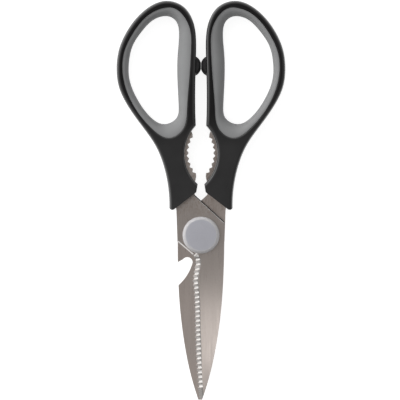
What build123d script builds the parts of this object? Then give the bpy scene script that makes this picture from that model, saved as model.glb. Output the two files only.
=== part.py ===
from build123d import *
import math
import os

os.makedirs("parts", exist_ok=True)

# Kitchen shears, closed and lying flat on the plane z = 0.
# The pivot axis is the z axis, the blades point to -Y and the finger loops to +Y.

# Reach of each end from the pivot axis, and widths to one side of it
blade_reach = 89.3
handle_reach = 126.6
handle_half_width = 45.6
neck_half_width = 17.2
blade_half_width = 13.3

# Thicknesses and heights
handle_thickness = 12.4
blade_thickness = 2.4
blade_gap = 0.06
shear_height = handle_thickness / 2
blade_floor = shear_height + blade_gap / 2
blade_top = blade_floor + blade_thickness

# One overrun for every cut
overrun = 1.0

# Blade: point, cutting bevel and ground corners
point_half_width = 0.8
rear_point_offset = 0.9
edge_land = 0.35
bevel_width = 3.1
bevel_end_width = 2.6
edge_skim = 0.08
corner_chamfer = 0.7
shoulder_start_shares = (-0.959, -0.0394)
edge_shares = [
    (-0.337, -0.119),
    (-0.224, -0.161),
    (-0.280, -0.213),
    (-0.338, -0.279),
    (-0.285, -0.358),
    (-0.256, -0.495),
    (-0.211, -0.719),
    (-0.106, -0.945),
]
spine_shares = [
    (0.140, -0.956),
    (0.402, -0.822),
    (0.650, -0.640),
    (0.833, -0.431),
    (0.915, -0.243),
    (0.950, -0.024),
]
spine_head_shares = (0.950, 0.079)

# Serration ground into the front blade's bevel
gullet_count = 29
gullet_start = 10.9
gullet_pitch = 2.54
gullet_radius = 0.8
gullet_depth = 0.55
gullet_length = 2.8
gullet_slant = 10

# Bone notch in the rear blade's spine
notch_radius = 2.9
notch_inset = 5.9
notch_height = 14.9
notch_mouth = 14.0
hook_round = 0.7
notch_top_shares = (-0.8, 0.6)
notch_sweep_share = 0.6

# Tang: the steel inside each handle, in shares of the neck and of the handle's reach
tang_throat_shares = (0.198, 0.172)
tang_inner_shares = [(0.208, 0.214), (0.175, 0.234)]
tang_outer_shares = [
    (0.330, 0.452),
    (0.400, 0.462),
    (0.472, 0.437),
    (0.755, 0.385),
    (0.912, 0.321),
    (0.912, 0.236),
    (0.830, 0.163),
]
tang_heel_share = 0.105
lock_hole_radius = 2.0
lock_hole_shares = [(0.60, 0.200), (0.68, 0.330)]

# Gripper teeth on the inner edge of each tang
tooth_count = 8
teeth_below_middle = 4.5
tooth_pitch = 2.95
tooth_depth = 1.15
tooth_arc_radius = 17.2
gripper_depth = 6.65
gripper_height_share = 0.351

# Handle shell outline, first in shares of the neck, then of the loop
heel_shares = (1.0, 0.094)
neck_side_shares = [(0.994, 0.144), (1.035, 0.210), (1.170, 0.295)]
loop_side_shares = [
    (0.538, 0.381),
    (0.703, 0.467),
    (0.868, 0.552),
    (0.977, 0.638),
    (1.000, 0.713),
    (0.975, 0.788),
    (0.873, 0.873),
    (0.671, 0.959),
    (0.416, 1.000),
    (0.202, 0.974),
    (0.083, 0.900),
]
rail_half_gap = 2.6
rail_top_share = 0.797
rail_side_shares = [(0.173, 0.680), (0.182, 0.570), (0.163, 0.468)]
oval_side_shares = (0.513, 0.338)
oval_foot_shares = (0.104, 0.218)
neck_corner_shares = (0.148, 0.183)
heel_round = 1.7
handle_edge_round = 1.8
border_edge_round = 0.9
edge_round_wall_share = 0.62
border_round_wall_share = 0.31

# Lining of the finger loop: its border on the faces and its hole at mid height
border_shares = [
    (0.392, 0.971),
    (0.630, 0.936),
    (0.808, 0.859),
    (0.910, 0.779),
    (0.931, 0.713),
    (0.912, 0.656),
    (0.774, 0.538),
    (0.585, 0.456),
    (0.377, 0.415),
    (0.214, 0.453),
    (0.165, 0.538),
    (0.140, 0.661),
    (0.118, 0.790),
    (0.124, 0.865),
    (0.196, 0.929),
]
hole_shares = [
    (0.422, 0.937),
    (0.555, 0.923),
    (0.704, 0.871),
    (0.808, 0.813),
    (0.855, 0.741),
    (0.850, 0.668),
    (0.760, 0.584),
    (0.618, 0.512),
    (0.437, 0.475),
    (0.285, 0.505),
    (0.266, 0.554),
    (0.280, 0.661),
    (0.276, 0.781),
    (0.261, 0.858),
    (0.303, 0.918),
]
lining_recess = 0.8
lining_rim_share = 0.08
lining_level_shares = [-1.0, -0.6, 0.0, 0.6, 1.0]
web_share = 0.35
web_thickness = 3.2

# Bumper: a rubber button pressed into the inner side of each handle
bumper_height_share = 0.7235
bumper_radius = 5.3
bumper_nose_radius = 1.7
bumper_dome_shares = (0.62, 0.74)
bumper_half_height = 3.9
bumper_seat_depth = 0.5
bumper_clearance = 0.05
stem_radius = 1.5
stem_length = 2.6
stem_head_radius = 1.9
stem_head_length = 0.8

# Pivot: shouldered bolt with a square neck, disc spring, nut and two caps
pivot_fit = 0.05
seat_gap = 0.03
shoulder_radius = 3.1
square_neck = 6.4
bolt_head_radius = 5.5
bolt_head_height = 1.9
thread_radius = 2.5
spring_outer_radius = 5.6
spring_height = 0.36
spring_thickness = 0.25
nut_flats = 9.0
nut_height = 2.0
cap_radius = 9.95
cap_face_radius = 7.7
cap_bevel_height = 1.2
cap_rim_round = 0.8
cap_gap = 0.1


def blade_point(shares, lean=0.0):
    """Place a share of the blade in the plan; a lean moves the point sideways."""
    return (shares[0] * blade_half_width - lean * shares[1], shares[1] * blade_reach)


def neck_point(shares):
    """Place a share of the left neck in the plan."""
    return (-shares[0] * neck_half_width, shares[1] * handle_reach)


def loop_point(shares):
    """Place a share of the left finger loop in the plan."""
    return (-shares[0] * handle_half_width, shares[1] * handle_reach)


def prism(edges, low, high):
    """Extrude a closed plan outline between two heights."""
    face = Face(Wire(edges))
    return extrude(Pos(0, 0, low) * face, high - low, dir=(0, 0, 1))


def turned_over(shape):
    """Turn a left or front piece over to make its right or rear twin."""
    axis = Axis((0, 0, shear_height), (0, 1, 0))
    return shape.rotate(axis, 180)


def tooth_edge():
    """Zigzag of the gripper teeth, from the lowest valley to the highest."""
    centre_x = tooth_arc_radius - gripper_depth
    centre_y = gripper_height_share * handle_reach
    step = tooth_pitch / tooth_arc_radius
    points = []
    for half_step in range(2 * tooth_count + 1):
        turn = (teeth_below_middle - half_step / 2) * step
        is_valley = half_step % 2 == 0
        radius = tooth_arc_radius + (tooth_depth if is_valley else 0)
        angle = math.pi + turn
        points.append((centre_x + radius * math.cos(angle), centre_y + radius * math.sin(angle)))
    return points


def blade_outline(lean):
    """Closed outline of one blade with its tang, in the front blade's position."""
    shoulder = blade_point(shoulder_start_shares, lean)
    edge = [blade_point(shares, lean) for shares in edge_shares]
    spine = [blade_point(shares, lean) for shares in spine_shares]
    point_y = -blade_reach + point_half_width
    point_left = (lean - point_half_width, point_y)
    point_right = (lean + point_half_width, point_y)
    cutting = Spline(*edge, point_left)
    nose = ThreePointArc(point_left, (lean, -blade_reach), point_right)
    back = Spline(point_right, *spine)
    head = blade_point(spine_head_shares)
    throat = neck_point(tang_throat_shares)
    inner = [neck_point(shares) for shares in tang_inner_shares]
    outer = [neck_point(shares) for shares in tang_outer_shares]
    heel = (-blade_half_width, tang_heel_share * handle_reach)
    tang = Polyline(spine[-1], head, throat, *inner, *tooth_edge(), *outer, heel, shoulder, edge[0])
    return [*cutting.edges(), *nose.edges(), *back.edges(), *tang.edges()]


def bevel_wire(shift, end_shift, height, lean):
    """Outline of what the grinding takes off outside the cutting edge, at one height."""
    edge = [blade_point(shares, lean) for shares in edge_shares]
    moved = [(x + shift, y) for x, y in edge[:-1]]
    moved.append((edge[-1][0] + end_shift, edge[-1][1]))
    last = (lean - point_half_width + end_shift, -blade_reach + point_half_width)
    far_x = -blade_half_width - overrun
    far_y = -blade_reach - overrun
    line = Spline(*moved, last)
    rest = Polyline(last, (last[0], far_y), (far_x, far_y), (far_x, moved[0][1]), moved[0])
    return Pos(0, 0, height) * Wire([*line.edges(), *rest.edges()])


def bevel_cutter(lean):
    """Solid outside the ground bevel, from the land at the edge to above the blade."""
    rise = blade_thickness - edge_land
    top_share = (rise + overrun) / rise
    low = Face(bevel_wire(-edge_skim, -edge_skim, blade_floor + edge_land, lean))
    top_shift = bevel_width * top_share
    top_end_shift = bevel_end_width * top_share
    high = Face(bevel_wire(top_shift, top_end_shift, blade_top + overrun, lean))
    return loft([low, high], ruled=True)


def edge_x(y):
    """X of the front blade's cutting edge at a given y."""
    points = [blade_point(shares) for shares in edge_shares]
    for (x_a, y_a), (x_b, y_b) in zip(points, points[1:]):
        if y >= y_b:
            return x_a + (x_b - x_a) * (y - y_a) / (y_b - y_a)
    return points[-1][0]


def gullets():
    """Round grooves across the bevel, one for each serration."""
    slope = (blade_thickness - edge_land) / bevel_width
    rise = slope + gullet_depth / gullet_length
    slant = math.tan(math.radians(gullet_slant))
    axis = Vector(1, slant, rise).normalized()
    lift = gullet_radius - gullet_depth
    cutters = []
    for index in range(gullet_count):
        y = -gullet_start - index * gullet_pitch
        foot = Vector(edge_x(y), y, blade_floor + edge_land + lift)
        plane = Plane(origin=foot, x_dir=(0, 1, 0), z_dir=axis)
        cutters.append(plane * Cylinder(gullet_radius, 2 * bevel_width))
    return cutters


def corner_grinder(start, end):
    """Half space that grinds the top corner along a straight side, the steel on its left."""
    along = (end - start).normalized()
    outward = Vector(along.Y, -along.X, 1).normalized()
    middle = (start + end) / 2 - outward * corner_chamfer / math.sqrt(2)
    plane = Plane(origin=middle, x_dir=along, z_dir=outward)
    length = (end - start).length
    return plane * Box(length, length, blade_thickness, align=(Align.CENTER, Align.CENTER, Align.MIN))


def blade_blank(lean):
    """Stamped and ground blade with its tang and locking holes, before its own features."""
    blank = prism(blade_outline(lean), blade_floor, blade_top)
    head = Vector(*blade_point(spine_head_shares), blade_top)
    throat = Vector(*neck_point(tang_throat_shares), blade_top)
    shoulder = Vector(*blade_point(shoulder_start_shares, lean), blade_top)
    shoulder_end = Vector(*blade_point(edge_shares[0], lean), blade_top)
    blank -= corner_grinder(head, throat)
    blank -= corner_grinder(shoulder, shoulder_end)
    blank -= bevel_cutter(lean)
    for shares in lock_hole_shares:
        hole = Cylinder(lock_hole_radius, blade_thickness + 2 * overrun)
        blank -= Pos(*neck_point(shares), blade_floor + blade_thickness / 2) * hole
    return blank


def front_blade():
    """Serrated blade of the left handle, turning on the bolt's shoulder."""
    blade = blade_blank(0.0)
    bore = Cylinder(shoulder_radius + pivot_fit, blade_thickness + 2 * overrun)
    blade -= Pos(0, 0, blade_floor + blade_thickness / 2) * bore
    return blade - gullets()


def notch_cutter():
    """Hooked notch for small bones in the rear blade's spine."""
    centre = (-blade_half_width + notch_inset, -notch_height)
    far_x = -blade_half_width - overrun
    mouth_y = -notch_height - notch_mouth
    hook_y = -notch_height - hook_round
    top_x, top_y = notch_top_shares
    top = (centre[0] + notch_radius * top_x, centre[1] + notch_radius * top_y)
    side = (centre[0] + notch_radius, centre[1])
    crown = (centre[0], centre[1] + notch_radius)
    pocket = ThreePointArc(top, crown, side)
    bulge = notch_radius * notch_sweep_share
    sweep_mid = ((side[0] + far_x) / 2 + bulge, (side[1] + mouth_y) / 2)
    ramp = ThreePointArc(side, sweep_mid, (far_x, mouth_y))
    rest = Polyline((far_x, mouth_y), (far_x, hook_y), top)
    low = blade_floor - 2 * blade_thickness
    return prism([*pocket.edges(), *ramp.edges(), *rest.edges()], low, blade_top)


def rear_blade():
    """Plain blade of the right handle, with the bone notch and a square hole for the bolt."""
    blade = turned_over(blade_blank(rear_point_offset))
    middle = shear_height - blade_gap / 2 - blade_thickness / 2
    size = square_neck + 2 * pivot_fit
    blade -= Pos(0, 0, middle) * Box(size, size, blade_thickness + 2 * overrun)
    return blade - notch_cutter()


def handle_outline():
    """Closed outline of the left handle shell."""
    heel = neck_point(heel_shares)
    neck_side = [neck_point(shares) for shares in neck_side_shares]
    loop_side = [loop_point(shares) for shares in loop_side_shares]
    rail_top = (-rail_half_gap, rail_top_share * handle_reach)
    rail = [neck_point(shares) for shares in rail_side_shares]
    outer = Spline(heel, *neck_side, *loop_side, rail_top, *rail)
    oval_foot = neck_point(oval_foot_shares)
    oval = ThreePointArc(rail[-1], neck_point(oval_side_shares), oval_foot)
    neck = Polyline(oval_foot, neck_point(neck_corner_shares), heel)
    return [*outer.edges(), *oval.edges(), *neck.edges()]


def loop_wire(share, height):
    """Closed curve between the lining's border (share 0) and its hole (share 1)."""
    points = []
    for border, hole in zip(border_shares, hole_shares):
        x_share = border[0] + (hole[0] - border[0]) * share
        y_share = border[1] + (hole[1] - border[1]) * share
        points.append(loop_point((x_share, y_share)))
    curve = Spline(*points, periodic=True)
    return Pos(0, 0, height) * Wire(curve.edges())


def loop_slab(share, half_height):
    """Slab inside one of the loop's curves, centred on the shear plane."""
    face = Face(loop_wire(share, shear_height - half_height))
    return extrude(face, 2 * half_height, dir=(0, 0, 1))


def lining_blank():
    """Room that the lining fills: the border through the thickness, less the shell's web."""
    room = loop_slab(0.0, handle_thickness / 2 - lining_recess)
    web = loop_slab(0.0, web_thickness / 2) - loop_slab(web_share, web_thickness)
    return room - web


def finger_hole():
    """Waisted hole for the fingers, widest at the faces."""
    half = handle_thickness / 2 - lining_recess
    sections = []
    for level in lining_level_shares:
        roundness = math.sqrt(1 - level * level)
        share = lining_rim_share + (1 - lining_rim_share) * roundness
        sections.append(Face(loop_wire(share, shear_height + level * half)))
    return loft(sections)


def left_bumper():
    """Rubber button with a headed stem, lying along the x axis at the shear height."""
    base_x = rail_half_gap + bumper_seat_depth
    nose = base_x - bumper_clearance
    half = Line((nose, 0), (nose, bumper_nose_radius))
    dome_middle = (nose * bumper_dome_shares[0], bumper_radius * bumper_dome_shares[1])
    dome = ThreePointArc((nose, bumper_nose_radius), dome_middle, (0, bumper_radius))
    shank = Polyline(
        (0, bumper_radius),
        (0, stem_radius),
        (stem_head_length - stem_length, stem_radius),
        (stem_head_length - stem_length, stem_head_radius),
        (-stem_length, stem_head_radius),
        (-stem_length, 0),
        (nose, 0),
    )
    profile = Face(Wire([*half.edges(), *dome.edges(), *shank.edges()]))
    button = revolve(profile, Axis.X)
    button &= Box(4 * bumper_radius, 4 * bumper_radius, 2 * bumper_half_height)
    return Pos(-base_x, bumper_height_share * handle_reach, shear_height) * button


def rim_round(radius, wall_share):
    """Radius for a rim of the handle, less where the rail beside the loop is thin."""
    rail_wall = min(x for x, y in border_shares) * handle_half_width - rail_half_gap
    return min(radius, wall_share * rail_wall)


def rims(shape):
    """Edges of the shell on its two flat faces."""
    levels = shape.edges().group_by(Axis.Z)
    return levels[0] + levels[-1]


def heel_cutter():
    """What lies outside the rounded corner of the heel."""
    corner = Vector(*neck_point(heel_shares))
    up = Vector(0, 1)
    along = (Vector(*neck_point(neck_corner_shares)) - corner).normalized()
    middle = (up + along).normalized()
    half_angle = math.radians(up.get_angle(along) / 2)
    reach = heel_round / math.tan(half_angle)
    centre = corner + middle * (heel_round / math.sin(half_angle))
    side = corner + up * reach
    foot = corner + along * reach
    arc = ThreePointArc(side, centre - middle * heel_round, foot)
    outside = corner - middle * overrun
    rest = Polyline(foot, foot - Vector(0, overrun), outside, side - Vector(overrun, 0), side)
    return prism([*arc.edges(), *rest.edges()], -overrun, handle_thickness + overrun)


def left_shell(blade, bumper):
    """Hard handle moulded round the tang, with the lining's room and the bumper's socket."""
    shell = prism(handle_outline(), 0, handle_thickness)
    outer = rims(shell).filter_by(GeomType.BSPLINE)
    oval = rims(shell).filter_by(GeomType.CIRCLE)
    shell = fillet(outer + oval, rim_round(handle_edge_round, edge_round_wall_share))
    shell -= heel_cutter()
    shell -= loop_slab(0.0, handle_thickness)
    borders = shell.edges().filter_by(lambda edge: edge.is_closed)
    shell = fillet(borders, rim_round(border_edge_round, border_round_wall_share))
    web = loop_slab(0.0, web_thickness / 2) - loop_slab(web_share, web_thickness)
    return shell + web - blade - bumper


def pivot_bolt():
    """Shouldered bolt with a round head, a square neck and a thread's plain body."""
    rear_floor = shear_height - blade_gap / 2 - blade_thickness
    head = Pos(0, 0, rear_floor - bolt_head_height) * Cylinder(
        bolt_head_radius, bolt_head_height, align=(Align.CENTER, Align.CENTER, Align.MIN)
    )
    neck = Pos(0, 0, rear_floor) * Box(
        square_neck, square_neck, blade_thickness, align=(Align.CENTER, Align.CENTER, Align.MIN)
    )
    seat = blade_top + spring_height
    shoulder = Pos(0, 0, rear_floor) * Cylinder(
        shoulder_radius, seat - rear_floor, align=(Align.CENTER, Align.CENTER, Align.MIN)
    )
    thread = Pos(0, 0, seat) * Cylinder(
        thread_radius, nut_height, align=(Align.CENTER, Align.CENTER, Align.MIN)
    )
    return head + neck + shoulder + thread


def disc_spring():
    """Slightly coned spring washer between the front blade and the nut."""
    inner = shoulder_radius + pivot_fit
    low = blade_top + seat_gap
    high = blade_top + spring_height
    profile = Polyline(
        (spring_outer_radius, low),
        (spring_outer_radius, low + spring_thickness),
        (inner, high),
        (inner, high - spring_thickness),
        (spring_outer_radius, low),
    )
    face = Plane.XZ * Face(Wire(profile.edges()))
    return revolve(face, Axis.Z)


def nut_prism(extra, height):
    """Hexagonal prism on the nut's flats, grown by a clearance."""
    hexagon = RegularPolygon(nut_flats / 2 + extra, 6, major_radius=False)
    return extrude(hexagon, height)


def pivot_nut():
    """Hexagonal nut on the bolt's thread, tight against the shoulder."""
    nut = nut_prism(0, nut_height)
    nut -= Cylinder(thread_radius + pivot_fit / 2, 4 * nut_height)
    return Pos(0, 0, blade_top + spring_height) * nut


def cap_body(height):
    """Plain cap with a bevelled rim, standing on z = 0."""
    side_top = height - cap_bevel_height
    profile = Polyline(
        (0, 0),
        (cap_radius, 0),
        (cap_radius, side_top),
        (cap_face_radius, height),
        (0, height),
        (0, 0),
    )
    face = Plane.XZ * Face(Wire(profile.edges()))
    body = revolve(face, Axis.Z)
    rims = body.edges().filter_by(GeomType.CIRCLE).group_by(Axis.Z)[1:]
    return fillet([*rims[0], *rims[1]], cap_rim_round)


def front_cap():
    """Cap pressed over the nut, just clear of the front blade."""
    floor = blade_top + cap_gap
    cap = Pos(0, 0, floor) * cap_body(handle_thickness - floor)
    nut_top = blade_top + spring_height + nut_height
    pocket = Pos(0, 0, nut_top) * nut_prism(pivot_fit / 2, nut_top - floor + overrun).mirror(Plane.XY)
    relief = Cylinder(
        spring_outer_radius + 2 * pivot_fit,
        2 * (spring_height - cap_gap + seat_gap),
    )
    return cap - pocket - Pos(0, 0, floor) * relief


def rear_cap():
    """Cap pressed over the bolt's head; its flat face lies on the table."""
    rear_floor = shear_height - blade_gap / 2 - blade_thickness
    height = rear_floor - cap_gap
    cap = Pos(0, 0, height) * cap_body(height).mirror(Plane.XY)
    head_floor = rear_floor - bolt_head_height
    pocket = Pos(0, 0, head_floor) * Cylinder(
        bolt_head_radius + pivot_fit / 2,
        bolt_head_height + overrun,
        align=(Align.CENTER, Align.CENTER, Align.MIN),
    )
    return cap - pocket


def build_nodes():
    """Make every piece in its place."""
    blade = front_blade()
    bumper = left_bumper()
    shell = left_shell(blade_blank(0.0), bumper)
    grip = lining_blank() - finger_hole()
    return {
        "front_blade": blade,
        "rear_blade": rear_blade(),
        "left_handle_shell": shell,
        "right_handle_shell": turned_over(shell),
        "left_grip": grip,
        "right_grip": turned_over(grip),
        "left_bumper": bumper,
        "right_bumper": turned_over(bumper),
        "pivot_bolt": pivot_bolt(),
        "pivot_nut": pivot_nut(),
        "disc_spring": disc_spring(),
        "front_cap": front_cap(),
        "rear_cap": rear_cap(),
    }


for name, shape in build_nodes().items():
    export_step(shape, f"parts/{name}.step")
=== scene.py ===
import math

import bmesh
import bpy
from bpy.props import FloatProperty, FloatVectorProperty, IntProperty, PointerProperty
from bpy.types import Operator, Panel, PropertyGroup
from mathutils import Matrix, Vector


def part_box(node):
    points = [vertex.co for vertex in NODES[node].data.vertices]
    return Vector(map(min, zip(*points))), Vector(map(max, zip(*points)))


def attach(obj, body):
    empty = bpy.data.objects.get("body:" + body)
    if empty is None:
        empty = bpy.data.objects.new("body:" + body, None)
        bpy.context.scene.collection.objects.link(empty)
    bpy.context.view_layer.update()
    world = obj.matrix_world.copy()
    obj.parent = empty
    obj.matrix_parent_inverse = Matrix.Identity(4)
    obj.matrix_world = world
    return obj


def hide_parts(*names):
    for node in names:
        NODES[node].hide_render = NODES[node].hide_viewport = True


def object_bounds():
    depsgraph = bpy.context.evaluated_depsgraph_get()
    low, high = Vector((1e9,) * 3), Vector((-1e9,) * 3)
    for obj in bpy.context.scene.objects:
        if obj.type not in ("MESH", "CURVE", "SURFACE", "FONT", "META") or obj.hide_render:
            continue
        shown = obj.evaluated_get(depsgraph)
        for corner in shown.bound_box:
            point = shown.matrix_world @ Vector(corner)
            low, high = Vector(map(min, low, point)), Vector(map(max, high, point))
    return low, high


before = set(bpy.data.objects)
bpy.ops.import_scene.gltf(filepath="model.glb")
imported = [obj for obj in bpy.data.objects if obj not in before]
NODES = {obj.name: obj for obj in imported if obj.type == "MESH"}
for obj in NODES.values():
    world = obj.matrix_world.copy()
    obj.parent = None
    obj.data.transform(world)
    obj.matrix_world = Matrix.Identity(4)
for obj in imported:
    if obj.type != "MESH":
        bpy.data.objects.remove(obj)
CAD_BOX = [list(corner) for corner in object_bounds()]

bl_info = {
    "name": "Kitchen Shears",
    "version": (1, 0, 0),
    "blender": (4, 5, 0),
    "location": "3D View > Sidebar > Shears",
    "description": "Finishes a pair of kitchen shears and the small studio that they lie in",
    "category": "Object",
}

MM = 0.001
MID_HEIGHT = (CAD_BOX[0][2] + CAD_BOX[1][2]) / 2

# Where the photograph's frame lies over the shears, in metres
FRAME_WIDTH = 216.8 * MM
FRAME_CENTRE = (-0.54 * MM, 18.97 * MM)

# Each blade's steels, in the order of its material slots
# The root chamfers are lit and shaded copies of one steel: a painted highlight on those that face
# the tips, painted shade with a painted highlight along the rim on those that face the handles; the
# root walls that face backward are painted shade
FLAT, BEVEL, GULLET, CORNER, SHADED_WALL, SHADED_CHAMFER = range(6)

# How a blade's faces are told apart: by place along the blade, and by tilt, the normal's share of z
ROOT_START, ROOT_END = -12 * MM, 22 * MM
TIP_LENGTH = 5.3 * MM
SERRATION_END = CAD_BOX[0][1] + TIP_LENGTH
UPRIGHT_TILT = 0.1
BEVEL_TILT = 0.79
FLAT_TILT = 0.97
CORNER_TILT = math.sqrt(0.5)
TILT_ERROR = 0.002
# Share of a normal's y and x past which a root wall faces backward and takes painted shade
FACING_BACK = 0.5

# Stains on the blades: where they grow clear along the root, how much of them shows before it,
# and the noise values between which a spot grows
STAIN_START, STAIN_END = 8 * MM, 16 * MM
STAIN_FAINT_SHARE = 0.12
SPOT_START, SPOT_END = 0.46, 0.72

# Where each blade's bow is level
FRONT_BOW_MIDDLE = -20 * MM
REAR_BOW_MIDDLE = -10 * MM

# Depths below a blade's outer face between which the painted highlight on the bevel fades out
# towards the outer face, and the painted shade on a root chamfer turns into a painted highlight
# along its rim; and the share of the bevel's colour that is left where its painted highlight has
# faded
BEVEL_GLINT_FADE = (0.75 * MM, 0.35 * MM)
RIM_GLINT_FADE = (0.32 * MM, 0.27 * MM)
BEVEL_DIMMED_SHARE = 0.7

# Tilts at which the gloss on the handles' rounded edges begins, is full, begins to fade and ends
GLOSS_TILTS = (0.1, 0.3, 0.84, 0.95)

# Middle of the right finger loop, where the painted shade in the valley inside its crest begins and
# is full, the outward lean of the surface at which it ends, and the share of the shine that is left
# in it
LOOP_CENTRE = (24.7 * MM, 90 * MM)
VALLEY_START, VALLEY_END = 48 * MM, 66 * MM
VALLEY_LEAN = 0.1
VALLEY_SHADE_SHINE_SHARE = 0.4

# Line that the halves of the mould left round each handle
SEAM_WIDTH, SEAM_DEPTH = 0.12 * MM, 0.05 * MM

# Noise values between which a colour or a roughness varies
NOISE_LOW, NOISE_HIGH = 0.3, 0.7

# Depth of the fine relief on each finish
STREAK_DEPTH = 0.004 * MM
SCRATCH_DEPTH = 0.002 * MM
HANDLE_GRAIN = 0.005 * MM
LINING_GRAIN = 0.02 * MM
RUBBER_GRAIN = 0.03 * MM
CAP_GRAIN = 0.004 * MM
CAP_RIM_GRAIN = 0.002 * MM

# Roundness of a blade's edges in its shading, and how near two corners of its mesh are one
EDGE_RADIUS = 0.12 * MM
MERGE_DISTANCE = 0.0005 * MM

# How far light spreads inside a cap's milky plastic
MILKY_DEPTH = 3 * MM

# Rounded rim of a cap: inset from its side and drop from its top at each corner, going up,
# then how far outside the face the last corner lies and its drop
CAP_RIM = ((0, 1.45 * MM), (0.18 * MM, 1.08 * MM), (0.55 * MM, 0.78 * MM))
RIM_START, RIM_START_DROP = 0.55 * MM, 0.34 * MM

# Narrow ledge round a cap's face
LEDGE_WIDTH, LEDGE_FALL = 0.2 * MM, 0.02 * MM

# Rings of faces in the crown of a cap
CROWN_RINGS = 6


# Shader nodes


def feed(tree, value, socket):
    """Feed a socket from another node, or set it to a plain value."""
    if isinstance(value, bpy.types.NodeSocket):
        tree.links.new(value, socket)
    else:
        socket.default_value = value


def math_node(tree, operation, *values):
    """Result of a Math node on one or two values, each a socket or a number."""
    node = tree.nodes.new("ShaderNodeMath")
    node.operation = operation
    for value, socket in zip(values, node.inputs):
        feed(tree, value, socket)
    return node.outputs["Value"]


def ranged(tree, value, start, end, low=0.0, high=1.0):
    """Value mapped from one range to another, and held between low and high."""
    node = tree.nodes.new("ShaderNodeMapRange")
    node.inputs["From Min"].default_value = start
    node.inputs["From Max"].default_value = end
    node.inputs["To Min"].default_value = low
    node.inputs["To Max"].default_value = high
    tree.links.new(value, node.inputs["Value"])
    return node.outputs["Result"]


def ramped(tree, value, *stops):
    """Colour of a value on a ramp of (position, colour) stops."""
    node = tree.nodes.new("ShaderNodeValToRGB")
    elements = node.color_ramp.elements
    elements[0].position = stops[0][0]
    elements[-1].position = stops[-1][0]
    for position, _ in stops[1:-1]:
        elements.new(position)
    for element, (_, colour) in zip(elements, stops):
        element.color = (*colour, 1)
    tree.links.new(value, node.inputs["Fac"])
    return node.outputs["Color"]


def axes(tree, vector):
    """X, Y and Z outputs of a vector."""
    parts = tree.nodes.new("ShaderNodeSeparateXYZ")
    tree.links.new(vector, parts.inputs["Vector"])
    return parts.outputs


def object_axes(tree):
    """X, Y and Z outputs of the Object coordinates."""
    return axes(tree, tree.nodes.new("ShaderNodeTexCoord").outputs["Object"])


def object_noise(tree, scale, stretch=(1, 1, 1), detail=2.0):
    """Noise on Object coordinates; scale counts per metre, and stretch sets it for each axis."""
    place = tree.nodes.new("ShaderNodeTexCoord")
    mapping = tree.nodes.new("ShaderNodeMapping")
    mapping.inputs["Scale"].default_value = stretch
    noise = tree.nodes.new("ShaderNodeTexNoise")
    noise.inputs["Scale"].default_value = scale
    noise.inputs["Detail"].default_value = detail
    tree.links.new(place.outputs["Object"], mapping.inputs["Vector"])
    tree.links.new(mapping.outputs["Vector"], noise.inputs["Vector"])
    return noise.outputs["Fac"]


# Materials


def new_shader(name, colour, roughness, **sockets):
    """Material with one Principled shader; its sockets are named with _ for each space."""
    material = bpy.data.materials.new(name)
    material.use_nodes = True
    tree = material.node_tree
    shader = tree.nodes["Principled BSDF"]
    shader.inputs["Base Color"].default_value = (*colour, 1)
    shader.inputs["Roughness"].default_value = roughness
    for socket, value in sockets.items():
        shader.inputs[socket.replace("_", " ")].default_value = value
    return material, tree, shader


def vary_colour(tree, shader, value, colour, change):
    """Move the base colour between two near shades by a noise value."""
    dark = [channel * (1 - change) for channel in colour]
    light = [channel * (1 + change) for channel in colour]
    varied = ramped(tree, value, (NOISE_LOW, dark), (NOISE_HIGH, light))
    tree.links.new(varied, shader.inputs["Base Color"])


def vary_roughness(tree, shader, value, middle, change):
    """Move the roughness a little to each side of its middle by a noise value."""
    varied = ranged(tree, value, NOISE_LOW, NOISE_HIGH, middle - change, middle + change)
    tree.links.new(varied, shader.inputs["Roughness"])


def soften_edges(tree, radius):
    """Normal that rounds the sharp edges of a surface over a small radius."""
    soft = tree.nodes.new("ShaderNodeBevel")
    soft.samples = 6
    soft.inputs["Radius"].default_value = radius
    return soft.outputs["Normal"]


def add_bump(tree, shader, value, depth, below=None):
    """Bump from a value, its depth in metres, over an earlier normal if there is one."""
    bump = tree.nodes.new("ShaderNodeBump")
    bump.inputs["Strength"].default_value = 1
    bump.inputs["Distance"].default_value = depth
    tree.links.new(value, bump.inputs["Height"])
    if below is not None:
        tree.links.new(below, bump.inputs["Normal"])
    tree.links.new(bump.outputs["Normal"], shader.inputs["Normal"])
    return bump.outputs["Normal"]


def blade_bow(tree, shader, middle, slope, below):
    """Slight lengthwise bow of a blade: its slope grows with the distance from a middle."""
    offset = math_node(tree, "SUBTRACT", object_axes(tree)["Y"], middle)
    return add_bump(tree, shader, math_node(tree, "MULTIPLY", offset, offset), slope, below)


def tarnish(tree, shader, stain):
    """Fine stains over the base colour, faint on the blade and clear at its root."""
    clean = shader.inputs["Base Color"].links[0].from_socket
    reach = ranged(tree, object_axes(tree)["Y"], STAIN_START, STAIN_END, low=STAIN_FAINT_SHARE)
    grain = object_noise(tree, scale=900, stretch=(1.3, 0.7, 1.0), detail=5)
    spots = ranged(tree, grain, SPOT_START, SPOT_END)
    mixed = tree.nodes.new("ShaderNodeMix")
    mixed.data_type = "RGBA"
    mixed.inputs["B"].default_value = (*stain, 1)
    tree.links.new(math_node(tree, "MULTIPLY", reach, spots), mixed.inputs["Factor"])
    tree.links.new(clean, mixed.inputs["A"])
    tree.links.new(mixed.outputs["Result"], shader.inputs["Base Color"])


def brush_across(tree, shader):
    """Turn the shader's tangent across the blade, at right angles to the brushing."""
    across = tree.nodes.new("ShaderNodeCombineXYZ")
    across.inputs["X"].default_value = 1
    turned = tree.nodes.new("ShaderNodeVectorTransform")
    turned.vector_type = "VECTOR"
    turned.convert_from = "OBJECT"
    turned.convert_to = "WORLD"
    tree.links.new(across.outputs["Vector"], turned.inputs["Vector"])
    tree.links.new(turned.outputs["Vector"], shader.inputs["Tangent"])


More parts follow.
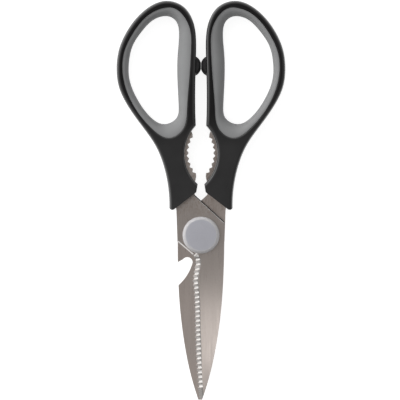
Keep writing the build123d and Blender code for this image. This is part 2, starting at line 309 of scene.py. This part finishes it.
def brushed_steel(name, colour, stain, roughness, bow, bow_middle):
    """Steel brushed along the blade, in long fine streaks over faint broad clouds."""
    material, tree, shader = new_shader(name, colour, roughness, Metallic=1.0, Anisotropic=0.6)
    streaks = object_noise(tree, scale=1400, stretch=(3.0, 0.04, 1.0), detail=3)
    clouds = object_noise(tree, scale=60, stretch=(1.6, 0.35, 1.0))
    vary_colour(tree, shader, clouds, colour, change=0.07)
    vary_roughness(tree, shader, streaks, roughness, change=0.06)
    tarnish(tree, shader, stain)
    brush_across(tree, shader)
    normal = blade_bow(tree, shader, bow_middle, bow, soften_edges(tree, EDGE_RADIUS))
    add_bump(tree, shader, streaks, STREAK_DEPTH, normal)
    return material


def ground_steel(name, colour, roughness, second=None, fade=None, metal=1.0):
    """Steel ground by a wheel; a second colour takes over between the two heights of a fade."""
    material, tree, shader = new_shader(name, colour, roughness, Metallic=metal)
    scratches = object_noise(tree, scale=2200, stretch=(0.1, 2.0, 0.3))
    vary_roughness(tree, shader, scratches, roughness, change=0.05)
    add_bump(tree, shader, scratches, SCRATCH_DEPTH)
    if fade is None:
        vary_colour(tree, shader, scratches, colour, change=0.05)
    else:
        level = ranged(tree, object_axes(tree)["Z"], *fade)
        faded = ramped(tree, level, (0, colour), (1, second))
        tree.links.new(faded, shader.inputs["Base Color"])
    return material


def mould_seam(tree, shader, height, below):
    """Fine raised line round a moulding where the halves of its mould met."""
    away = math_node(tree, "ABSOLUTE", math_node(tree, "SUBTRACT", object_axes(tree)["Z"], height))
    ridge = ranged(tree, away, 0, SEAM_WIDTH, low=1, high=0)
    add_bump(tree, shader, ridge, SEAM_DEPTH, below)


def ring_valley_shade(tree):
    """Share of the painted shade in the valley inside each finger loop's crest, where the surface
    leans inward.
    """
    place = tree.nodes.new("ShaderNodeTexCoord")
    x, y, _ = axes(tree, place.outputs["Object"])
    middle = math_node(tree, "MULTIPLY", math_node(tree, "SIGN", x), LOOP_CENTRE[0])
    away = tree.nodes.new("ShaderNodeCombineXYZ")
    tree.links.new(math_node(tree, "SUBTRACT", x, middle), away.inputs["X"])
    tree.links.new(math_node(tree, "SUBTRACT", y, LOOP_CENTRE[1]), away.inputs["Y"])
    outward = tree.nodes.new("ShaderNodeVectorMath")
    outward.operation = "NORMALIZE"
    lean = tree.nodes.new("ShaderNodeVectorMath")
    lean.operation = "DOT_PRODUCT"
    tree.links.new(away.outputs["Vector"], outward.inputs[0])
    tree.links.new(outward.outputs["Vector"], lean.inputs[0])
    tree.links.new(place.outputs["Normal"], lean.inputs[1])
    inward = ranged(tree, lean.outputs["Value"], VALLEY_LEAN, 0)
    return math_node(tree, "MULTIPLY", inward, ranged(tree, y, VALLEY_START, VALLEY_END))


def polish_edges(tree, shader, gloss, shine):
    """Gloss on the rounded edges of a handle, and painted shade in the valley inside the crest of
    its loop, where the coat and part of the shine are cut.
    """
    normal = tree.nodes.new("ShaderNodeNewGeometry").outputs["Normal"]
    tilt = math_node(tree, "ABSOLUTE", axes(tree, normal)["Z"])
    shares = [[share] * 3 for share in (0, gloss, gloss, 0)]
    edges = ramped(tree, tilt, *zip(GLOSS_TILTS, shares))
    # Painted shade: the valley loses its coat and part of its shine
    valley = ring_valley_shade(tree)
    coat = math_node(tree, "MULTIPLY", edges, math_node(tree, "SUBTRACT", 1, valley))
    tree.links.new(coat, shader.inputs["Coat Weight"])
    shader.inputs["Coat Roughness"].default_value = 0.25
    shader.inputs["Coat IOR"].default_value = 1.8
    level = ranged(tree, valley, 0, 1, shine, VALLEY_SHADE_SHINE_SHARE * shine)
    tree.links.new(level, shader.inputs["Specular IOR Level"])


def moulded_plastic(name, colour, roughness, grain, change=0.25, **sockets):
    """Satin moulded plastic with a fine spark-eroded grain."""
    material, tree, shader = new_shader(name, colour, roughness, **sockets)
    clouds = object_noise(tree, scale=90)
    vary_colour(tree, shader, clouds, colour, change)
    vary_roughness(tree, shader, clouds, roughness, change=0.05)
    add_bump(tree, shader, object_noise(tree, scale=3200, detail=3), depth=grain)
    return material


def handle_plastic(name, handle, seam_height):
    """Hard plastic of the handles, polished on its edges, with the seam of its mould."""
    material = moulded_plastic(name, handle.colour, roughness=0.32, grain=HANDLE_GRAIN)
    tree = material.node_tree
    shader = tree.nodes["Principled BSDF"]
    polish_edges(tree, shader, handle.edge_gloss, handle.shine)
    grained = shader.inputs["Normal"].links[0].from_socket
    mould_seam(tree, shader, seam_height, grained)
    return material


# Meshes


def new_piece(name, bm, materials, sharp_angle=35):
    """Make a bmesh a piece of the scene, smooth but for its sharp edges."""
    mesh = bpy.data.meshes.new(name)
    bm.to_mesh(mesh)
    bm.free()
    imported_normals = mesh.attributes.get("custom_normal")
    if imported_normals:
        mesh.attributes.remove(imported_normals)
    mesh.shade_smooth()
    mesh.set_sharp_from_angle(angle=math.radians(sharp_angle))
    for material in materials:
        mesh.materials.append(material)
    piece = bpy.data.objects.new(name, mesh)
    bpy.context.scene.collection.objects.link(piece)
    return piece


def spun(points, steps, axis, centre):
    """Closed solid from (radius, height) points, spun about an upright axis through a centre."""
    bm = bmesh.new()
    rings = []
    for radius, height in points:
        middle = centre + axis * height
        turns = [math.tau * step / steps for step in range(steps if radius else 1)]
        spokes = [Vector((math.cos(turn), math.sin(turn), 0)) for turn in turns]
        rings.append([bm.verts.new(middle + spoke * radius) for spoke in spokes])
    for ring, following in zip(rings, rings[1:]):
        for step in range(steps):
            here = [ring[turn % len(ring)] for turn in (step, step + 1)]
            there = [following[turn % len(following)] for turn in (step + 1, step)]
            bm.faces.new(dict.fromkeys(here + there))
    return bm


def finished_copy(node, body, materials, pick):
    """Stand a copy with merged corners in for a node; pick says the material of each face."""
    bm = bmesh.new()
    bm.from_mesh(NODES[node].data)
    bmesh.ops.remove_doubles(bm, verts=bm.verts, dist=MERGE_DISTANCE)
    bm.normal_update()
    for face in bm.faces:
        face.material_index = pick(face)
    piece = new_piece(f"{node}_finished", bm, materials, sharp_angle=25)
    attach(piece, body)
    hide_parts(node)


def dress(node, material):
    """Give a node its one material."""
    mesh = NODES[node].data
    mesh.materials.clear()
    mesh.materials.append(material)


# Sizes and colours that a user would change


class ShearsSteel(PropertyGroup):
    colour: FloatVectorProperty(
        name="Steel Colour",
        description="Base colour of the front blade",
        subtype="COLOR",
        default=(0.445, 0.396, 0.367),
        min=0,
        max=1,
    )
    rear_colour: FloatVectorProperty(
        name="Rear Steel Colour",
        description="Base colour of the rear blade",
        subtype="COLOR",
        default=(0.475, 0.414, 0.38),
        min=0,
        max=1,
    )
    stain_colour: FloatVectorProperty(
        name="Stain Colour",
        description="Base colour of the fine stains at the root of each blade",
        subtype="COLOR",
        default=(0.33, 0.27, 0.228),
        min=0,
        max=1,
    )
    bevel_colour: FloatVectorProperty(
        name="Bevel Colour",
        description="Base colour of the satin bevel along the cutting edge",
        subtype="COLOR",
        default=(0.36, 0.34, 0.325),
        min=0,
        max=1,
    )
    # Painted highlight: the freshly ground gullets are made lighter than bare steel to stand in for
    # their glint
    gullet_glint_colour: FloatVectorProperty(
        name="Gullet Glint Colour",
        description="Base colour of the freshly ground gullets, lifted to a painted highlight",
        subtype="COLOR",
        default=(0.93, 0.91, 0.89),
        min=0,
        max=1,
    )
    # Painted highlight: the colour of the root chamfers that face the tips, and of the rim of those
    # that face the handles
    chamfer_highlight_colour: FloatVectorProperty(
        name="Chamfer Highlight Colour",
        description="Painted highlight on the root chamfers that face the tips and on the rim of those that face the handles",
        subtype="COLOR",
        default=(0.88, 0.85, 0.83),
        min=0,
        max=1,
    )
    # Painted shade: the colour of the root walls that face backward and of the root chamfers that
    # face the handles
    painted_shade_colour: FloatVectorProperty(
        name="Painted Shade Colour",
        description="Painted shade on the root walls that face backward and on the root chamfers that face the handles",
        subtype="COLOR",
        default=(0.035, 0.031, 0.029),
        min=0,
        max=1,
    )
    bolt_colour: FloatVectorProperty(
        name="Bolt Colour",
        description="Base colour of the bolt, its nut and the disc spring",
        subtype="COLOR",
        default=(0.55, 0.55, 0.54),
        min=0,
        max=1,
    )
    roughness: FloatProperty(
        name="Steel Roughness",
        description="How far the brushing spreads a reflection",
        subtype="FACTOR",
        default=0.33,
        min=0,
        max=1,
    )
    bow: FloatProperty(
        name="Bow",
        description="Lengthwise bow of the blades, as a slope per metre",
        default=0.9,
        min=0,
        max=5,
    )


class ShearsHandle(PropertyGroup):
    colour: FloatVectorProperty(
        name="Handle Colour",
        description="Base colour of the hard handles",
        subtype="COLOR",
        default=(0.0035, 0.003, 0.0033),
        min=0,
        max=1,
    )
    edge_gloss: FloatProperty(
        name="Edge Gloss",
        description="Gloss on the rounded edges of the hard handles",
        subtype="FACTOR",
        default=0.8,
        min=0,
        max=1,
    )
    shine: FloatProperty(
        name="Handle Shine",
        description="Strength of the light that the hard handles throw back",
        subtype="FACTOR",
        default=0.7,
        min=0,
        max=1,
    )
    lining: FloatVectorProperty(
        name="Lining Colour",
        description="Base colour of the soft lining of the finger loops",
        subtype="COLOR",
        default=(0.262, 0.264, 0.266),
        min=0,
        max=1,
    )
    rubber: FloatVectorProperty(
        name="Bumper Colour",
        description="Base colour of the rubber bumpers",
        subtype="COLOR",
        default=(0.016, 0.015, 0.016),
        min=0,
        max=1,
    )


class ShearsCap(PropertyGroup):
    colour: FloatVectorProperty(
        name="Cap Colour",
        description="Base colour of the pivot caps",
        subtype="COLOR",
        default=(0.455, 0.455, 0.495),
        min=0,
        max=1,
    )
    # Painted highlight: the rims are lighter than the face; their lower roughness is a real polish
    rim_glint_colour: FloatVectorProperty(
        name="Cap Rim Glint Colour",
        description="Base colour of the polished rims of the caps, lighter than the face as a painted highlight",
        subtype="COLOR",
        default=(0.55, 0.54, 0.55),
        min=0,
        max=1,
    )
    translucency: FloatProperty(
        name="Translucency",
        description="Share of the light that spreads inside the cap's milky plastic",
        subtype="FACTOR",
        default=0.8,
        min=0,
        max=1,
    )
    face_radius: FloatProperty(
        name="Face Radius",
        description="Radius of the cap's crowned face inside its rim",
        unit="LENGTH",
        default=8.3 * MM,
    )
    dome: FloatProperty(
        name="Dome",
        description="Rise of the face's middle above its edge",
        unit="LENGTH",
        default=0.2 * MM,
    )
    socket_radius: FloatProperty(
        name="Socket Radius",
        description="Radius of the socket under the cap that clears the nut or the bolt's head",
        unit="LENGTH",
        default=5.8 * MM,
    )
    socket_depth: FloatProperty(
        name="Socket Depth",
        description="Depth of the socket under the cap",
        unit="LENGTH",
        default=2.4 * MM,
    )
    steps: IntProperty(name="Steps", description="Facets round a cap", default=96, min=24, max=256)


class ShearsStudio(PropertyGroup):
    camera_distance: FloatProperty(
        name="Camera Distance",
        description="Height of the camera over the shears",
        unit="LENGTH",
        default=1.4,
    )
    floor_size: FloatProperty(
        name="Floor Size",
        description="Side of the square floor",
        unit="LENGTH",
        default=6.0,
    )
    floor_colour: FloatVectorProperty(
        name="Floor Colour",
        description="Colour of the floor",
        subtype="COLOR",
        default=(0.42, 0.42, 0.42),
        min=0,
        max=1,
    )
    floor_glow: FloatProperty(
        name="Floor Glow",
        description="How much the floor is lifted towards white for the camera and in reflections",
        default=0.86,
        min=0,
        max=1,
    )
    key_glow: FloatProperty(
        name="Key Glow",
        description="Strength of the broad soft light at the upper left",
        default=1.3,
        min=0,
        max=10,
    )
    key_direction: FloatVectorProperty(
        name="Key Direction",
        description="Direction of the middle of the light at the upper left",
        subtype="DIRECTION",
        default=(-0.8, 0.5, 0.34),
    )
    fill_glow: FloatProperty(
        name="Fill Glow",
        description="Strength of the weaker soft light at the upper right",
        default=0.5,
        min=0,
        max=10,
    )
    fill_direction: FloatVectorProperty(
        name="Fill Direction",
        description="Direction of the middle of the light at the upper right",
        subtype="DIRECTION",
        default=(0.3, 0.85, 0.2),
    )
    glow_focus: FloatProperty(
        name="Glow Focus",
        description="How quickly the soft lights fade away from their middles",
        default=3.0,
        min=1,
        max=32,
    )
    key_power: FloatProperty(
        name="Key Power",
        description="Power of the lamp in the middle of the light at the upper left",
        unit="POWER",
        default=2.6,
        min=0,
        max=20,
    )
    key_distance: FloatProperty(
        name="Key Distance",
        description="Distance of the lamp at the upper left from the pivot",
        unit="LENGTH",
        default=0.7,
    )
    key_size: FloatProperty(
        name="Key Size",
        description="Side of the lamp at the upper left",
        unit="LENGTH",
        default=0.5,
    )
    top_power: FloatProperty(
        name="Top Power",
        description="Power of the small softbox over the blades",
        unit="POWER",
        default=0.07,
    )
    top_place: FloatVectorProperty(
        name="Top Place",
        description="Place of the small softbox over the blades",
        subtype="XYZ_LENGTH",
        default=(0.02, -0.115, 0.3),
    )
    top_size: FloatProperty(
        name="Top Size",
        description="Side of the small softbox over the blades",
        unit="LENGTH",
        default=0.11,
    )
    sky: FloatProperty(
        name="Sky",
        description="Strength of the even light from all round",
        default=0.33,
        min=0,
        max=2,
    )


# Operators


class SHEARS_OT_studio(Operator):
    """Lay the pale floor, hang the soft lamps and set the camera"""

    bl_idname = "shears.studio"
    bl_label = "Studio"

    def execute(self, context):
        studio = context.scene.shears_studio
        self.lay_floor(studio)
        self.light_sky(context.scene, studio)
        self.hang_lamp("top_lamp", studio.top_place, studio.top_size, studio.top_power)
        side = Vector(studio.key_direction).normalized() * studio.key_distance
        self.hang_lamp("key_lamp", side, studio.key_size, studio.key_power, mirrored=False)
        self.set_camera(context.scene, studio)
        context.scene.view_settings.view_transform = "Standard"
        return {"FINISHED"}

    def lay_floor(self, studio):
        """Plain floor, lifted towards white for the eye but not in the light it gives back."""
        bm = bmesh.new()
        bmesh.ops.create_grid(bm, x_segments=8, y_segments=8, size=studio.floor_size / 2)
        material, tree, shader = new_shader("pale_floor", studio.floor_colour, roughness=0.9)
        vary_roughness(tree, shader, object_noise(tree, scale=2), middle=0.9, change=0.02)
        path = tree.nodes.new("ShaderNodeLightPath").outputs
        direct = math_node(tree, "MAXIMUM", path["Is Camera Ray"], path["Is Glossy Ray"])
        seen = math_node(tree, "MAXIMUM", direct, path["Is Transmission Ray"])
        shader.inputs["Emission Color"].default_value = (1, 1, 1, 1)
        lift = math_node(tree, "MULTIPLY", seen, studio.floor_glow)
        tree.links.new(lift, shader.inputs["Emission Strength"])
        floor = new_piece("floor", bm, [material])

    def light_sky(self, scene, studio):
        """Even light from all round, with a broad soft glow at each side."""
        world = bpy.data.worlds.new("studio_sky")
        world.use_nodes = True
        scene.world = world
        tree = world.node_tree
        key = self.add_glow(tree, studio.key_direction, studio.glow_focus, studio.key_glow)
        fill = self.add_glow(tree, studio.fill_direction, studio.glow_focus, studio.fill_glow)
        total = math_node(tree, "ADD", math_node(tree, "ADD", key, fill), studio.sky)
        background = tree.nodes["Background"]
        background.inputs["Color"].default_value = (1, 1, 1, 1)
        tree.links.new(total, background.inputs["Strength"])

    def add_glow(self, tree, direction, focus, strength):
        """Light that fades away smoothly on all sides of a direction."""
        place = tree.nodes.new("ShaderNodeTexCoord")
        toward = tree.nodes.new("ShaderNodeVectorMath")
        toward.operation = "DOT_PRODUCT"
        toward.inputs[1].default_value = Vector(direction).normalized()
        tree.links.new(place.outputs["Generated"], toward.inputs[0])
        facing = math_node(tree, "MAXIMUM", toward.outputs["Value"], 0)
        return math_node(tree, "MULTIPLY", math_node(tree, "POWER", facing, focus), strength)

    def hang_lamp(self, name, place, size, power, mirrored=True):
        """A square soft lamp that faces the pivot, and shows in metal only if it is mirrored."""
        lamp = bpy.data.lights.new(name, "AREA")
        lamp.size = size
        lamp.energy = power
        holder = bpy.data.objects.new(name, lamp)
        holder.location = place
        holder.visible_glossy = mirrored
        holder.rotation_euler = (-Vector(place)).to_track_quat("-Z", "Y").to_euler()
        bpy.context.scene.collection.objects.link(holder)

    def set_camera(self, scene, studio):
        """Camera straight above, that sees what the photograph's frame holds."""
        lens = bpy.data.cameras.new("camera")
        lens.sensor_width = 36
        lens.lens = lens.sensor_width * studio.camera_distance / FRAME_WIDTH
        lens.clip_end = 20
        camera = bpy.data.objects.new("camera", lens)
        camera.location = (*FRAME_CENTRE, MID_HEIGHT + studio.camera_distance)
        scene.collection.objects.link(camera)
        scene.camera = camera


class SHEARS_OT_blades(Operator):
    """Brush the faces of the two blades, grind their bevels and serrations with a painted
    highlight, and paint highlight and shade on the chamfers and walls at their roots
    """

    bl_idname = "shears.blades"
    bl_label = "Blades"

    def execute(self, context):
        steel = context.scene.shears_steel
        stain, roughness, bow = steel.stain_colour, steel.roughness, steel.bow
        front = brushed_steel(
            "blade_steel", steel.colour, stain, roughness, -bow, FRONT_BOW_MIDDLE
        )
        rear = brushed_steel(
            "rear_blade_steel", steel.rear_colour, stain, roughness, bow, REAR_BOW_MIDDLE
        )
        # The gullets' colour carries a painted highlight
        gullet = ground_steel("gullet_glint_steel", steel.gullet_glint_colour, roughness=0.4)
        # Painted highlight on the root chamfers that face the tips
        corner = ground_steel("lit_chamfer_steel", steel.chamfer_highlight_colour, roughness=0.5, metal=0.3)
        # Painted shade on the root walls that face backward
        shaded_wall = ground_steel("shaded_wall_steel", steel.painted_shade_colour, roughness=0.6)
        for node, body, flat in (
            ("front_blade", "front_half", front),
            ("rear_blade", "rear_half", rear),
        ):
            low, high = (end[2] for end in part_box(node))
            outer, inward = (high, -1) if body == "front_half" else (low, 1)
            # Painted highlight on the bevel, fading out towards the outer face between these
            # heights
            fade = [outer + depth * inward for depth in BEVEL_GLINT_FADE]
            # Heights between which the chamfers that face the handles turn from painted shade to a
            # painted highlight along their rim
            rim = [outer + depth * inward for depth in RIM_GLINT_FADE]
            bevel = ground_steel(
                f"{node}_bevel",
                steel.bevel_colour,
                roughness=0.3,
                second=steel.bevel_colour * BEVEL_DIMMED_SHARE,
                fade=fade,
            )
            # Painted shade on the root chamfers that face the handles, with a painted highlight
            # along their rim
            shaded_chamfer = ground_steel(
                f"{node}_shoulder",
                steel.painted_shade_colour,
                roughness=0.5,
                second=steel.chamfer_highlight_colour,
                fade=rim,
                metal=0.3,
            )
            steels = (flat, bevel, gullet, corner, shaded_wall, shaded_chamfer)
            finished_copy(node, body, steels, self.finish)
        return {"FINISHED"}

    def finish(self, face):
        """Slot of a face's steel, by the tilt of its normal and by where it lies; at the root, the
        chamfers that face the tips take a painted highlight, those that face the handles painted
        shade, and the walls that face backward painted shade.
        """
        tilt, side = abs(face.normal.z), abs(face.normal.x)
        y = face.calc_center_median().y
        root = ROOT_START < y < ROOT_END
        if tilt < UPRIGHT_TILT:
            # Root walls that face backward take painted shade
            backward = face.normal.y > FACING_BACK and side > FACING_BACK
            return SHADED_WALL if root and backward else FLAT
        if tilt > FLAT_TILT:
            return FLAT
        # Root chamfers: painted shade on those that face the handles, a painted highlight on those
        # that face the tips
        if root and abs(tilt - CORNER_TILT) < TILT_ERROR:
            return SHADED_CHAMFER if face.normal.y > 0 else CORNER
        # Bevel and gullets carry painted highlights along the serration
        return BEVEL if tilt > BEVEL_TILT or y < SERRATION_END else GULLET


class SHEARS_OT_handles(Operator):
    """Finish the hard handle shells and the soft lining of their loops"""

    bl_idname = "shears.handles"
    bl_label = "Handles"

    def execute(self, context):
        handle = context.scene.shears_handle
        black = handle_plastic("black_handle", handle, seam_height=MID_HEIGHT)
        grey = moulded_plastic(
            "grey_lining", handle.lining, roughness=0.62, grain=LINING_GRAIN, change=0.05
        )
        for side in ("left", "right"):
            dress(f"{side}_handle_shell", black)
            dress(f"{side}_grip", grey)
        return {"FINISHED"}


class SHEARS_OT_bumpers(Operator):
    """Finish the two rubber bumpers between the handles"""

    bl_idname = "shears.bumpers"
    bl_label = "Bumpers"

    def execute(self, context):
        handle = context.scene.shears_handle
        rubber = moulded_plastic("black_rubber", handle.rubber, roughness=0.7, grain=RUBBER_GRAIN)
        for side in ("left", "right"):
            dress(f"{side}_bumper", rubber)
        return {"FINISHED"}


class SHEARS_OT_caps(Operator):
    """Crown the faces of the two grey caps over the pivot, and give their rims a polish and a
    lighter colour as a painted highlight
    """

    bl_idname = "shears.caps"
    bl_label = "Caps"

    def execute(self, context):
        cap = context.scene.shears_cap
        milky = {
            "change": 0.03,
            "Subsurface_Weight": cap.translucency,
            "Subsurface_Scale": MILKY_DEPTH,
            "Subsurface_Radius": (1, 1, 1),
        }
        face = moulded_plastic("grey_cap", cap.colour, roughness=0.4, grain=CAP_GRAIN, **milky)
        # The rim's lighter colour is a painted highlight, its polish is real
        rim = moulded_plastic(
            "cap_rim_glint", cap.rim_glint_colour, roughness=0.28, grain=CAP_RIM_GRAIN, **milky
        )
        for node, side in (("front_cap", 1), ("rear_cap", -1)):
            self.crown(node, side, cap, (face, rim))
        return {"FINISHED"}

    def crown(self, node, side, cap, materials):
        """Spin a cap with a crowned face, a narrow ledge, a rounded rim and a socket below."""
        low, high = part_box(node)
        radius = (high[0] - low[0]) / 2
        floor = low[2] if side > 0 else high[2]
        height = high[2] - low[2]
        face = cap.face_radius
        edge = height - cap.dome
        profile = [
            (0, cap.socket_depth),
            (cap.socket_radius, cap.socket_depth),
            (cap.socket_radius, 0),
            (radius, 0),
            *((radius - inset, height - drop) for inset, drop in CAP_RIM),
            (face + RIM_START, height - RIM_START_DROP),
            (face + LEDGE_WIDTH, edge - LEDGE_FALL),
            (face, edge),
        ]
        for ring in range(CROWN_RINGS - 1, -1, -1):
            share = ring / CROWN_RINGS
            profile.append((face * share, height - cap.dome * share**2))
        centre = Vector((0, 0, floor))
        bm = spun(profile, cap.steps, Vector((0, 0, side)), centre)
        bmesh.ops.recalc_face_normals(bm, faces=bm.faces)
        for item in bm.faces:
            item.material_index = 0 if item.calc_center_median().xy.length < face else 1
        piece = new_piece(f"{node}_finished", bm, materials)
        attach(piece, "rear_half")
        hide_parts(node)


class SHEARS_OT_pivot(Operator):
    """Finish the bolt, its nut and the disc spring inside the caps"""

    bl_idname = "shears.pivot"
    bl_label = "Pivot"

    def execute(self, context):
        steel = context.scene.shears_steel
        material = ground_steel("bolt_steel", steel.bolt_colour, roughness=0.3)
        for node in ("pivot_bolt", "pivot_nut", "disc_spring"):
            dress(node, material)
        return {"FINISHED"}


class VIEW3D_PT_shears(Panel):
    """The steps that finish the shears, in order"""

    bl_label = "Kitchen Shears"
    bl_space_type = "VIEW_3D"
    bl_region_type = "UI"
    bl_category = "Shears"

    def draw(self, context):
        for step in STEPS:
            self.layout.operator(step.bl_idname)


SETTINGS = {
    "shears_steel": ShearsSteel,
    "shears_handle": ShearsHandle,
    "shears_cap": ShearsCap,
    "shears_studio": ShearsStudio,
}
STEPS = (
    SHEARS_OT_studio,
    SHEARS_OT_blades,
    SHEARS_OT_handles,
    SHEARS_OT_bumpers,
    SHEARS_OT_caps,
    SHEARS_OT_pivot,
)


def register():
    for name, group in SETTINGS.items():
        bpy.utils.register_class(group)
        setattr(bpy.types.Scene, name, PointerProperty(type=group))
    for item in (*STEPS, VIEW3D_PT_shears):
        bpy.utils.register_class(item)


def unregister():
    for item in (VIEW3D_PT_shears, *reversed(STEPS)):
        bpy.utils.unregister_class(item)
    for name, group in SETTINGS.items():
        delattr(bpy.types.Scene, name)
        bpy.utils.unregister_class(group)


def main():
    """Run every step in order."""
    register()
    bpy.ops.shears.studio()
    bpy.ops.shears.blades()
    bpy.ops.shears.handles()
    bpy.ops.shears.bumpers()
    bpy.ops.shears.caps()
    bpy.ops.shears.pivot()


if __name__ == "__main__":
    main()
